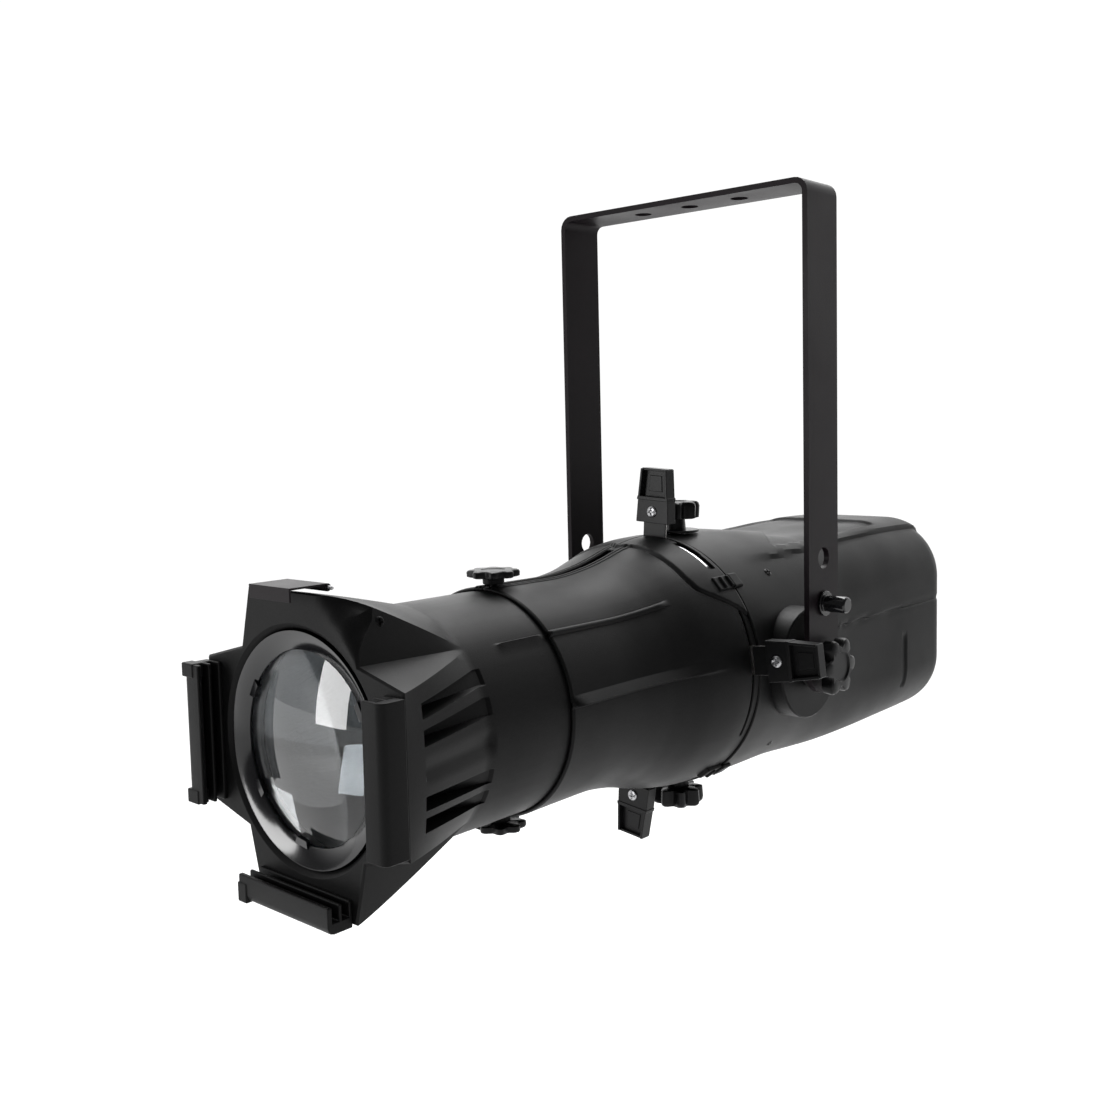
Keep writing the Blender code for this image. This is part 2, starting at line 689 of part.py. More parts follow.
def holder_ring(y, share, radius):
    """The lens tube's outer section: the cross where share is 0, the round tube where it is 1."""
    ring = []
    for quarter in range(4):
        turn = Matrix.Rotation(quarter * HALF_TURN / 2, 3, "Y")
        flat = [(u / 3, (ARM_HALF * u / 3, ARM_END)) for u in range(-3, 4)]
        points = []
        for place_on_arm, (x, z) in flat:
            angle = math.radians(43) * place_on_arm
            around = (radius * math.sin(angle), radius * math.cos(angle))
            points.append((x + (around[0] - x) * share, z + (around[1] - z) * share))
        diagonal = NOTCH + (radius * math.sqrt(0.5) - NOTCH) * share
        points.append((diagonal, diagonal))
        ring += [turn @ Vector((x, y, z)) for x, z in points]
    return ring


def build_lens_tube():
    outer = [holder_ring(HOLDER_Y, 0.0, TUBE_R), holder_ring(TAPER_END, 1.0, TUBE_R),
             holder_ring(TUBE_END, 1.0, TUBE_R)]
    inner = [holder_ring(TUBE_END, 1.0, TUBE_BORE), holder_ring(HOLDER_Y, 1.0, TUBE_BORE)]
    tube = loft("lens_tube", outer + inner, "black_paint", hollow=True)
    crown, edge, back = FRONT_LENS_Y
    curve = [(crown + (edge - crown) * (i / 4) ** 2, LENS_R * i / 4) for i in range(5)]
    turned("front_lens", [*curve, (back, LENS_R), (back, 0.0)], "glass", steps=32)
    crown, edge, back_edge, back_crown = REAR_LENS_Y
    curve = [(crown + (edge - crown) * (i / 3) ** 2, LENS_R * i / 3) for i in range(4)]
    curve += [(back_crown + (back_edge - back_crown) * (i / 3) ** 2, LENS_R * i / 3)
              for i in range(3, -1, -1)]
    turned("rear_lens", curve, "glass", steps=32)
    turned("lens_retaining_ring", ((-0.3665, LENS_R), (-0.3625, 0.0545), (-0.3608, 0.0545),
                                   (-0.3569, LENS_R)), "black_plastic", steps=32)
    front, back = FRONT_LENS_Y[2] + GAP, REAR_LENS_Y[1] - 0.0015
    turned("lens_spacer", ((front, 0.0625), (front, LENS_R), (back, LENS_R), (back, 0.0625)),
           "aluminium", steps=32)
    for name, turn in (("right", 0.0), ("bottom", HALF_TURN / 2), ("left", HALF_TURN)):
        build_channel(name, turn)
    build_latch()
    for name, sign in (("top", 1), ("bottom", -1)):
        build_focus_knob(tube, name, sign)


def build_focus_knob(tube, name, sign):
    """A collar on the tube, reached through the barrel's slot, and the knob screwed into it."""
    profile = ((0.0680, 0.0), (0.0680, COLLAR_NECK_R), (COLLAR_FOOT, COLLAR_NECK_R),
               (COLLAR_FOOT, COLLAR_R), (COLLAR_TOP, COLLAR_R), (COLLAR_TOP, 0.0023),
               (0.0756, 0.0023), (0.0756, 0.0))
    collar = turned(f"focus_collar_{name}", [(sign * along, radius) for along, radius in profile],
                    None, "Z", 20, (0.0, FOCUS_Y, 0.0))
    cut(tube, collar, "UNION")
    disc = COLLAR_TOP + GAP
    lobed_knob(
        f"focus_knob_{name}", "Z",
        ((0.0760, 0.0019, 0.0), (disc, 0.0020, 0.0), (disc + 0.0001, 0.0145, 0.0013),
         (disc + 0.0040, 0.0150, 0.0014), (disc + 0.0049, 0.0135, 0.0012)),
        (0.0, FOCUS_Y, 0.0), sign,
    )


def build_channel(name, turn):
    """An E-shaped channel with two slots for colour frames, drawn on the +X side."""
    axis = new_empty(f"channel_axis_{name}", rotation=(0.0, turn, 0.0), parent=TILT_AXIS)
    lip_1 = LIP_Y + FRONT_LIP
    lip_2 = lip_1 + SLOT_DEPTH
    lip_3 = lip_2 + MIDDLE_LIP
    plate_y = lip_3 + SLOT_DEPTH
    back = HOLDER_Y - GAP
    outline = [
        (LIP_INNER, LIP_Y), (CHANNEL_OUTER, LIP_Y), (CHANNEL_OUTER, back), (LIP_INNER, back),
        (LIP_INNER, plate_y), (WEB_INNER, plate_y), (WEB_INNER, lip_3), (LIP_INNER, lip_3),
        (LIP_INNER, lip_2), (WEB_INNER, lip_2), (WEB_INNER, lip_1), (LIP_INNER, lip_1),
    ]
    plate(f"frame_channel_{name}", [outline], 2 * CHANNEL_HALF, "black_paint", "Z", parent=axis)


def build_latch():
    """The spring latch over the open top of the frame slots, turning on its pin."""
    y, z = LATCH_AXIS
    front = LIP_Y + 0.0002 - y
    sheet, eye, bore = 0.0012, 0.0022, 0.0013
    latch = plate(
        "frame_latch",
        [[(0.0, eye), (front, eye), (front, LATCH_LIP_Z - z), (front + sheet, LATCH_LIP_Z - z),
          (front + sheet, eye - sheet), (0.0, eye - sheet)]],
        2 * LATCH_HALF, "yoke_paint", "X", (0.0, y, z),
    )
    knuckle = turned("latch_knuckle", ((-LATCH_HALF, 0.0), (-LATCH_HALF, eye),
                                       (LATCH_HALF, eye), (LATCH_HALF, 0.0)), None, "X", 16,
                     (0.0, y, z))
    cut(latch, knuckle, "UNION")
    drill(latch, bore, "X", (0.0, y, z), 0.1, 12)
    turned("latch_pin", ((-LATCH_HALF - 0.004, 0.0), (-LATCH_HALF - 0.004, 0.0011),
                         (LATCH_HALF + 0.004, 0.0011), (LATCH_HALF + 0.004, 0.0)),
           "steel", "X", 12, (0.0, y, z))


def main():
    build_yoke()
    build_housing()
    for side, sign in (("right", 1), ("left", -1)):
        build_side(side, sign)
    build_barrel()
    build_lens_tube()


main()
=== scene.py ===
"""Ellipsoidal spotlight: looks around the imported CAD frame, with studio light and camera."""
import json
import math

import bmesh
import bpy
from mathutils import Matrix, Vector


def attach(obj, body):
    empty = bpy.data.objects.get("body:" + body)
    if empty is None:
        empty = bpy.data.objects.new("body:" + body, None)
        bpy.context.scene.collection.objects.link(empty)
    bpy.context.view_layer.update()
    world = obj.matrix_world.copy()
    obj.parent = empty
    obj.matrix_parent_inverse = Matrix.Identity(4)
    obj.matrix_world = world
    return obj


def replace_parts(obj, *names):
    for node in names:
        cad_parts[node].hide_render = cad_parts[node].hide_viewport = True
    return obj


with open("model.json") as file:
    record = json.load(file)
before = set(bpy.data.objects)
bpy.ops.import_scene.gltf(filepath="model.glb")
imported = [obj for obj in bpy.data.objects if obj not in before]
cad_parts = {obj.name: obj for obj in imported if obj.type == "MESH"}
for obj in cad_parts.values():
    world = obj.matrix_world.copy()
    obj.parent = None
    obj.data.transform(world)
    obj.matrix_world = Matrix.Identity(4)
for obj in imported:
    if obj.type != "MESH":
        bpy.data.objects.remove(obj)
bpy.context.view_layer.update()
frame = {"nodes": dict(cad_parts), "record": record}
NODES = frame["nodes"]
BODY_OF = {node: body for body, nodes in frame["record"]["behaviour"]["bodies"].items()
           for node in nodes}
SLOT_OF = {entry["node"]: entry["material_slot"] for entry in frame["record"]["subparts"]}

AXIS_Z = -0.3355                    # height of the tilt and optical axes
TAU = 2 * math.pi

BRIGHT_WALL = (-0.60, 0.74, 0.42)   # direction of the studio's lit wall
WALL_LIGHT, DIM_ROOM, FLOOR_GLOW = 2.0, 0.12, 0.45

# ---------------------------------------------------------------- camera

CAMERA_AT = (0.5339, -0.7497, -0.1629)
YAW, PITCH, ROLL = math.radians(42.07), math.radians(4.87), math.radians(-1.33)


def make_camera():
    forward = Vector((-math.sin(YAW) * math.cos(PITCH), math.cos(YAW) * math.cos(PITCH),
                      -math.sin(PITCH)))
    right = Vector((math.cos(YAW), math.sin(YAW), 0.0))
    up = right.cross(forward)
    turned_right = right * math.cos(ROLL) + up * math.sin(ROLL)
    turned_up = up * math.cos(ROLL) - right * math.sin(ROLL)
    data = bpy.data.cameras.new("camera")
    data.lens, data.sensor_width = 39.55, 36.0
    data.shift_x, data.shift_y = -0.0040, -0.0202
    data.clip_start = 0.02
    camera = bpy.data.objects.new("camera", data)
    bpy.context.scene.collection.objects.link(camera)
    turn = Matrix((turned_right, turned_up, -forward)).transposed().to_4x4()
    camera.matrix_world = Matrix.Translation(CAMERA_AT) @ turn
    bpy.context.scene.camera = camera


# ---------------------------------------------------------------- materials

def shader_of(material):
    return material.node_tree.nodes["Principled BSDF"]


def textured(name, colour, roughness, metallic=0.0, grain=1100.0, bump=0.2, spread=0.25,
             worn=0.0, specular=0.5, coat=0.0, stretch=(1, 1, 1)):
    """A procedural finish: fine grain in the bump, slow variation in colour and roughness, and
    paler worn edges."""
    material = bpy.data.materials.new(name)
    material.use_nodes = True
    tree = material.node_tree
    shader = shader_of(material)
    new, link = tree.nodes.new, tree.links.new
    where = new("ShaderNodeTexCoord")
    scaled = new("ShaderNodeMapping")
    scaled.inputs["Scale"].default_value = stretch
    link(where.outputs["Object"], scaled.inputs["Vector"])
    slow = new("ShaderNodeTexNoise")
    slow.inputs["Scale"].default_value = 14.0
    slow.inputs["Detail"].default_value = 5.0
    link(scaled.outputs["Vector"], slow.inputs["Vector"])
    fine = new("ShaderNodeTexNoise")
    fine.inputs["Scale"].default_value = grain
    fine.inputs["Detail"].default_value = 3.0
    link(scaled.outputs["Vector"], fine.inputs["Vector"])
    shade = new("ShaderNodeMixRGB")
    shade.inputs["Color1"].default_value = (*[c * (1 - spread) for c in colour], 1)
    shade.inputs["Color2"].default_value = (*[min(1, c * (1 + spread)) for c in colour], 1)
    link(slow.outputs["Fac"], shade.inputs["Fac"])
    surface = shade
    if worn:
        edge = new("ShaderNodeNewGeometry")
        ramp = new("ShaderNodeValToRGB")
        ramp.color_ramp.elements[0].position = 0.53
        ramp.color_ramp.elements[1].position = 0.62
        link(edge.outputs["Pointiness"], ramp.inputs["Fac"])
        patchy = new("ShaderNodeMath")
        patchy.operation = "MULTIPLY"
        link(ramp.outputs["Color"], patchy.inputs[0])
        link(slow.outputs["Fac"], patchy.inputs[1])
        surface = new("ShaderNodeMixRGB")
        surface.inputs["Color2"].default_value = (*[min(1, c + worn) for c in colour], 1)
        link(patchy.outputs["Value"], surface.inputs["Fac"])
        link(shade.outputs["Color"], surface.inputs["Color1"])
    link(surface.outputs["Color"], shader.inputs["Base Color"])
    rough = new("ShaderNodeMapRange")
    rough.inputs["From Min"].default_value = 0.3
    rough.inputs["From Max"].default_value = 0.7
    rough.inputs["To Min"].default_value = roughness * 0.85
    rough.inputs["To Max"].default_value = min(1.0, roughness * 1.15)
    link(slow.outputs["Fac"], rough.inputs["Value"])
    link(rough.outputs["Result"], shader.inputs["Roughness"])
    relief = new("ShaderNodeBump")
    relief.inputs["Strength"].default_value = bump
    relief.inputs["Distance"].default_value = 0.0003
    link(fine.outputs["Fac"], relief.inputs["Height"])
    link(relief.outputs["Normal"], shader.inputs["Normal"])
    shader.inputs["Metallic"].default_value = metallic
    shader.inputs["Specular IOR Level"].default_value = specular
    shader.inputs["Coat Weight"].default_value = coat
    shader.inputs["Coat Roughness"].default_value = 0.15
    return material


def glass(name, tint, roughness):
    material = textured(name, tint, roughness, bump=0.01, grain=400.0, spread=0.02)
    shader = shader_of(material)
    shader.inputs["Transmission Weight"].default_value = 1.0
    shader.inputs["IOR"].default_value = 1.5
    return material


FINISH = {
    "yoke_steel": textured("yoke_powder_coat", (0.0085, 0.0060, 0.0075), 0.42, bump=0.25,
                           worn=0.015, specular=0.10),
    "zinc_steel": textured("zinc_plate", (0.42, 0.42, 0.43), 0.34, 1.0, bump=0.1, worn=0.1),
    "blade_steel": textured("rolled_steel", (0.42, 0.41, 0.40), 0.35, 1.0, bump=0.15,
                            stretch=(1, 1, 12)),
    "cast_aluminium": textured("textured_black_paint", (0.0050, 0.0050, 0.0052), 0.46, bump=0.35,
                               grain=1400.0, worn=0.010, specular=0.10),
    "bare_aluminium": textured("bare_aluminium", (0.60, 0.61, 0.62), 0.38, 1.0, bump=0.15),
    "black_plastic": textured("black_plastic", (0.0045, 0.0045, 0.0048), 0.34, bump=0.2,
                              grain=1800.0, worn=0.012, specular=0.15),
    "reflector_mirror": textured("polished_reflector", (0.88, 0.88, 0.90), 0.06, 1.0, bump=0.02),
    "lens_glass": glass("lens_glass", (0.93, 0.96, 0.98), 0.01),
    "circuit_board": textured("circuit_board", (0.02, 0.16, 0.06), 0.45, bump=0.3),
    "display_glass": textured("display_window", (0.01, 0.02, 0.03), 0.08, bump=0.02, coat=1.0),
    "rubber": textured("rubber", (0.014, 0.014, 0.014), 0.75, bump=0.4, specular=0.15),
    "ring_gloss": textured("glossy_black_ring", (0.006, 0.006, 0.007), 0.12, bump=0.03, grain=500.0,
                           specular=0.5),
}


# ---------------------------------------------------------------- geometry helpers

def at(x, y, z):
    """A point given from where the tilt axis crosses the optical axis."""
    return Vector((x, y, AXIS_Z + z))


def around(radius, degrees, y):
    """A point round the optical axis; the angle runs from straight up towards +X."""
    angle = math.radians(degrees)
    return at(radius * math.sin(angle), y, radius * math.cos(angle))


def smooth(value, low, high):
    """0 below low, 1 above high, and an even slope between."""
    share = min(1.0, max(0.0, (value - low) / (high - low)))
    return share * share * (3 - 2 * share)


def curve_value(points, place):
    """A smooth curve through (place, value) points, read at a place."""
    if place <= points[0][0]:
        return points[0][1]
    if place >= points[-1][0]:
        return points[-1][1]
    last = len(points) - 1
    i = max(k for k in range(last) if points[k][0] <= place)
    (x0, y0), (x1, y1) = points[i], points[i + 1]
    before, after = points[max(i - 1, 0)], points[min(i + 2, last)]
    slope_0 = (y1 - before[1]) / (x1 - before[0])
    slope_1 = (after[1] - y0) / (after[0] - x0)
    width = x1 - x0
    t = (place - x0) / width
    return ((2 * t**3 - 3 * t**2 + 1) * y0 + (t**3 - 2 * t**2 + t) * width * slope_0
            + (3 * t**2 - 2 * t**3) * y1 + (t**3 - t**2) * width * slope_1)


def steps(low, high, pitch):
    """Evenly spaced values from low to high, both ends included."""
    count = max(1, round((high - low) / pitch))
    return [low + (high - low) * i / count for i in range(count + 1)]


def merged(*lists, least=1e-5):
    """One rising list of the values, without near-repeats."""
    values = sorted(value for one in lists for value in one)
    kept = values[:1]
    for value in values[1:]:
        if value - kept[-1] > least:
            kept.append(value)
    return kept


def piece(name, bm, finish, body, angle=32.0):
    """Turns a bmesh in world coordinates into a finished object that rides on a body."""
    mesh = bpy.data.meshes.new(name)
    bm.to_mesh(mesh)
    bm.free()
    obj = bpy.data.objects.new(name, mesh)
    bpy.context.scene.collection.objects.link(obj)
    mesh.materials.append(FINISH[finish])
    mesh.shade_smooth()
    mesh.set_sharp_from_angle(angle=math.radians(angle))
    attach(obj, body)
    return obj


def rounded_edges(obj, width, segments=2, angle=32.0):
    bevel = obj.modifiers.new("edges", "BEVEL")
    bevel.width, bevel.segments = width, segments
    bevel.limit_method, bevel.angle_limit = "ANGLE", math.radians(angle)
    bevel.harden_normals = True
    return obj


def refined(node, width=0.0006, segments=2):
    """A copy of a CAD node with rounded edges, which stands for it."""
    bm = bmesh.new()
    bm.from_mesh(NODES[node].data)
    bmesh.ops.remove_doubles(bm, verts=bm.verts, dist=0.00002)
    bmesh.ops.dissolve_limit(bm, angle_limit=math.radians(1.0), verts=bm.verts, edges=bm.edges)
    obj = piece(f"{node}_finished", bm, SLOT_OF[node], BODY_OF[node])
    rounded_edges(obj, width, segments)
    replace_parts(obj, node)
    return obj


def skin(bm, rows, closed=False, skip=None):
    """Faces through rows of points. A closed row joins its last point to its first. The faces
    named by skip(row, column) are left open."""
    grid = [[bm.verts.new(point) for point in row] for row in rows]
    count = len(grid[0])
    for r in range(len(grid) - 1):
        for c in range(count if closed else count - 1):
            if skip and skip(r, c):
                continue
            d = (c + 1) % count
            bm.faces.new((grid[r][c], grid[r][d], grid[r + 1][d], grid[r + 1][c]))
    return grid


def tidy_normals(bm):
    bmesh.ops.recalc_face_normals(bm, faces=bm.faces)
    return bm


def lathe(bm, profile, axis="Y", centre=(0.0, 0.0, 0.0), count=96):
    """Adds a turned solid: (place along the axis, radius) points, closed on the axis or into a
    ring."""
    along = {"X": Vector((1, 0, 0)), "Y": Vector((0, 1, 0)), "Z": Vector((0, 0, 1))}[axis]
    one = {"X": Vector((0, 1, 0)), "Y": Vector((0, 0, 1)), "Z": Vector((1, 0, 0))}[axis]
    two = along.cross(one)
    middle = at(*centre)
    rings = []
    for place, radius in profile:
        if radius < 1e-7:
            rings.append([bm.verts.new(middle + along * place)])
            continue
        rings.append([bm.verts.new(middle + along * place + radius * (
            one * math.cos(TAU * i / count) + two * math.sin(TAU * i / count)))
            for i in range(count)])
    pairs = list(zip(rings, rings[1:]))
    if profile[0][1] > 1e-7:
        pairs.append((rings[-1], rings[0]))
    for a, b in pairs:
        for i in range(count):
            j = (i + 1) % count
            corners = [a[i % len(a)], a[j % len(a)], b[j % len(b)], b[i % len(b)]]
            kept = [v for k, v in enumerate(corners) if v not in corners[:k]]
            if len(kept) > 2:
                bm.faces.new(kept)
    return bm


def block(bm, low, high, matrix=None, top_scale=(1.0, 1.0)):
    """Adds a box, narrowed at its +Z end by top_scale, in optical-axis coordinates or placed by
    a matrix."""
    corners = []
    for z, (sx, sy) in ((low[2], (1.0, 1.0)), (high[2], top_scale)):
        mx, my = (low[0] + high[0]) / 2, (low[1] + high[1]) / 2
        hx, hy = (high[0] - low[0]) / 2 * sx, (high[1] - low[1]) / 2 * sy
        corners += [Vector((mx + a * hx, my + b * hy, z)) for a, b in
                    ((-1, -1), (1, -1), (1, 1), (-1, 1))]
    place = matrix or Matrix.Translation((0, 0, AXIS_Z))
    verts = [bm.verts.new(place @ corner) for corner in corners]
    for face in ((3, 2, 1, 0), (4, 5, 6, 7), (0, 1, 5, 4), (1, 2, 6, 5), (2, 3, 7, 6),
                 (3, 0, 4, 7)):
        bm.faces.new([verts[i] for i in face])


def lobed(bm, axis, sign, stations, centre, lobes=5, count=80, depth=1.0):
    """Adds a hand knob: (place, radius, lobe height) along its axis, outwards where sign is 1."""
    along = {"X": Vector((1, 0, 0)), "Z": Vector((0, 0, 1))}[axis] * sign
    one = Vector((0, 1, 0))
    two = along.cross(one)
    rows = []
    for place, radius, lobe in stations:
        row = []
        for i in range(count):
            angle = TAU * i / count
            swell = math.cos(lobes * angle)
            reach = radius + lobe * (swell if swell > 0 else swell * depth)
            row.append(at(*centre) + along * place
                       + reach * (one * math.cos(angle) + two * math.sin(angle)))
        rows.append(row)
    grid = skin(bm, rows, closed=True)
    bm.faces.new(grid[0])
    bm.faces.new(grid[-1])
    return bm


# ---------------------------------------------------------------- stage

def area_light(name, at, look_at, size, energy, tint=(1, 1, 1)):
    data = bpy.data.lights.new(name, "AREA")
    data.shape = "RECTANGLE"
    data.size, data.size_y = size
    data.energy = energy
    data.color = tint
    light = bpy.data.objects.new(name, data)
    bpy.context.scene.collection.objects.link(light)
    aim = (Vector(look_at) - Vector(at)).to_track_quat("-Z", "Y")
    light.matrix_world = Matrix.Translation(at) @ aim.to_matrix().to_4x4()


def studio_world():
    """White to the camera. The object itself sees a dim room with one bright wall behind it."""
    world = bpy.data.worlds.new("studio")
    bpy.context.scene.world = world
    world.use_nodes = True
    tree = world.node_tree
    new, link = tree.nodes.new, tree.links.new
    where = new("ShaderNodeTexCoord")
    facing = new("ShaderNodeVectorMath")
    facing.operation = "DOT_PRODUCT"
    facing.inputs[1].default_value = Vector(BRIGHT_WALL).normalized()
    link(where.outputs["Generated"], facing.inputs[0])
    strength = new("ShaderNodeMapRange")
    strength.interpolation_type = "SMOOTHSTEP"
    strength.inputs["From Min"].default_value = 0.05
    strength.inputs["From Max"].default_value = 0.80
    strength.inputs["To Min"].default_value = DIM_ROOM
    strength.inputs["To Max"].default_value = WALL_LIGHT
    link(facing.outputs["Value"], strength.inputs["Value"])
    room = tree.nodes["Background"]
    room.inputs["Color"].default_value = (1.0, 1.0, 1.0, 1.0)
    link(strength.outputs["Result"], room.inputs["Strength"])
    paper = new("ShaderNodeBackground")
    paper.inputs["Color"].default_value = (1.0, 1.0, 1.0, 1.0)
    paper.inputs["Strength"].default_value = 1.05
    seen = new("ShaderNodeLightPath")
    either = new("ShaderNodeMixShader")
    link(seen.outputs["Is Camera Ray"], either.inputs["Fac"])
    link(room.outputs["Background"], either.inputs[1])
    link(paper.outputs["Background"], either.inputs[2])
    link(either.outputs["Shader"], tree.nodes["World Output"].inputs["Surface"])


def make_stage():
    bm = bmesh.new()
    bmesh.ops.create_grid(bm, x_segments=2, y_segments=2, size=6.0,
                          matrix=Matrix.Translation((0, 0, -0.80)))
    mesh = bpy.data.meshes.new("floor")
    bm.to_mesh(mesh)
    bm.free()
    floor = bpy.data.objects.new("floor", mesh)
    bpy.context.scene.collection.objects.link(floor)
    paper = textured("pale_floor", (0.60, 0.60, 0.60), 0.9, bump=0.05, spread=0.01, specular=0.1)
    shader_of(paper).inputs["Emission Color"].default_value = (1.0, 1.0, 1.0, 1.0)
    shader_of(paper).inputs["Emission Strength"].default_value = FLOOR_GLOW
    mesh.materials.append(paper)
    studio_world()
    middle = (0.0, -0.05, AXIS_Z)
    area_light("top_softbox", (-0.5, 0.7, 1.2), middle, (1.4, 1.0), 34.0)
    area_light("front_softbox", (-1.00, -1.85, -0.12), (0.0, -0.38, AXIS_Z), (0.52, 0.78), 15.0)
    bpy.context.scene.view_settings.view_transform = "Standard"


# ---------------------------------------------------------------- the lantern

# Places along the optical axis (backwards is positive) and radii about it
PLATE_Y = -0.3675                   # front face of the lens tube's cross
CROSS_END_Y = -0.2935               # where the cross has become the round tube
TUBE_END_Y = -0.1290
ARM_HALF, ARM_END, NOTCH = 0.0430, 0.0870, 0.0520
TUBE_R, TUBE_BORE = 0.0704, 0.0665
BARREL_FRONT, BARREL_REAR = -0.2257, -0.0526
BARREL_PROFILE = (
    (-0.2257, 0.0728), (-0.1900, 0.0724), (-0.1600, 0.0727), (-0.1335, 0.0761),
    (-0.1175, 0.0797), (-0.0955, 0.0856), (-0.0725, 0.0892), (-0.0523, 0.0900),
)
HOUSING_FRONT, HOUSING_REAR = -0.0520, 0.2565
SEAM_Z = 0.0150
BOLT_RIB = 48.0                     # degrees round the axis, of the bead along tube and barrel
SEAM_CLIP_PLACES = (47.5, -47.5, 143.0)
SEAM_CLIP = (-0.0700, -0.0430, 0.0062)    # front, back, half width
SHUTTER_Y = {"left": -0.0637, "bottom": -0.0614, "right": -0.0591, "top": -0.0568}
SHUTTER_TURN = {"left": 270.0, "bottom": 186.5, "right": 83.7, "top": 3.7}
SHUTTER_OUT = {"left": 0.0, "bottom": -0.0070, "right": 0.0025, "top": 0.0}
SHUTTER_PLACE = {"left": 270.0, "bottom": 180.0, "right": 90.0, "top": 0.0}
SIDE_SLOTS = ((0.0240, 0.0315), (0.0130, 0.0200), (-0.0200, -0.0120), (-0.0335, -0.0255))


def bead(degrees, y, middle, height, width, start, end, taper=0.010):
    """How far a round-backed rib along the barrel stands up here."""
    across = abs(degrees - middle) / width
    if across >= 1:
        return 0.0
    lengthwise = smooth(y, start, start + taper) * (1 - smooth(y, end - taper, end))
    return height * math.sqrt(1 - across * across) * lengthwise


def finish_cad_nodes():
    for name, node in NODES.items():
        material = FINISH[SLOT_OF[name]]
        if not node.data.materials:
            node.data.materials.append(material)
        for slot in node.material_slots:
            slot.material = material


# ---- lens tube

ARM_PLACES = merged(steps(-1, 1, 0.08), *[
    (edge / ARM_HALF - 0.004, edge / ARM_HALF + 0.004) for slot in SIDE_SLOTS for edge in slot],
    least=0.003)
WALL_PLACES = (1.25, 1.5, 1.75, 2.0, 2.25, 2.5, 2.75)    # 2 is the bottom of a notch
ARM_CORNER = math.radians(43)       # where an arm's corner ends up on the round tube
ARM_SWEEP = 0.0170
SLOT_FRONT, SLOT_BACK = -0.3520, -0.2900


def cross_row(y, inset=0.0):
    """The tube's section: a cross at its front, a circle from CROSS_END_Y on. Each arm has its
    end face and the two walls of the notches beside it."""
    row = []
    for quarter in range(4):
        turn = Matrix.Rotation(quarter * TAU / 4, 3, "Y")
        end, half, notch = ARM_END - inset, ARM_HALF - inset, NOTCH - inset
        for u in [*ARM_PLACES, *WALL_PLACES]:
            back = y + sweep(quarter, u) * (1 - smooth(y, PLATE_Y, CROSS_END_Y))
            share = min(1.0, max(0.0, (back - PLATE_Y) / (CROSS_END_Y - PLATE_Y)) ** 1.12)
            angle = ARM_CORNER * min(u, 1.0)
            ring = Vector((TUBE_R * math.sin(angle), TUBE_R * math.cos(angle)))
            point = Vector((half * min(u, 1.0), end)).lerp(ring, share)
            if quarter in (1, 3) and u < 1:
                point = slotted(point, u, back)
            if u > 1:
                valley = Vector((1, 1)) * (notch + (TUBE_R * math.sqrt(0.5) - notch) * share)
                near = point if u <= 2 else Vector((point.y, point.x))
                point = near.lerp(valley, u - 1 if u <= 2 else 3 - u)
            row.append(turn @ Vector((point.x, back, point.y)))
    return row


def sweep(quarter, u):
    """How far the front corners of the top arm and of the walls beside it are drawn back."""
    if quarter == 0 and u > 0:
        return ARM_SWEEP * (smooth(u, 0.42, 1.06) if u <= 1 else 1 - smooth(u, 1.0, 2.0))
    return 0.0


def slotted(point, u, y):
    """Sinks the end face of a side arm to the round tube inside its wedge-shaped slots."""
    if not SLOT_FRONT < y < SLOT_BACK:
        return point
    for low, high in SIDE_SLOTS:
        if low / ARM_HALF < u < high / ARM_HALF:
            floor = math.sqrt(max(TUBE_R**2 - point.x**2, 0.0)) - 0.0015
            return Vector((point.x, min(point.y, floor)))
    if -0.07 < u < 0.08:
        return Vector((point.x, point.y - 0.0016))
    return point


def tube_rib(point):
    """Raises the bead of the tube, which lines up with the barrel's."""
    degrees = math.degrees(math.atan2(abs(point.x), point.z))
    reach = math.hypot(point.x, point.z)
    rise = bead(degrees, point.y, BOLT_RIB, 0.0020, 1.6, -0.2690, -0.2285, 0.006)
    scale = 1 + rise / reach
    return Vector((point.x * scale, point.y, point.z * scale))


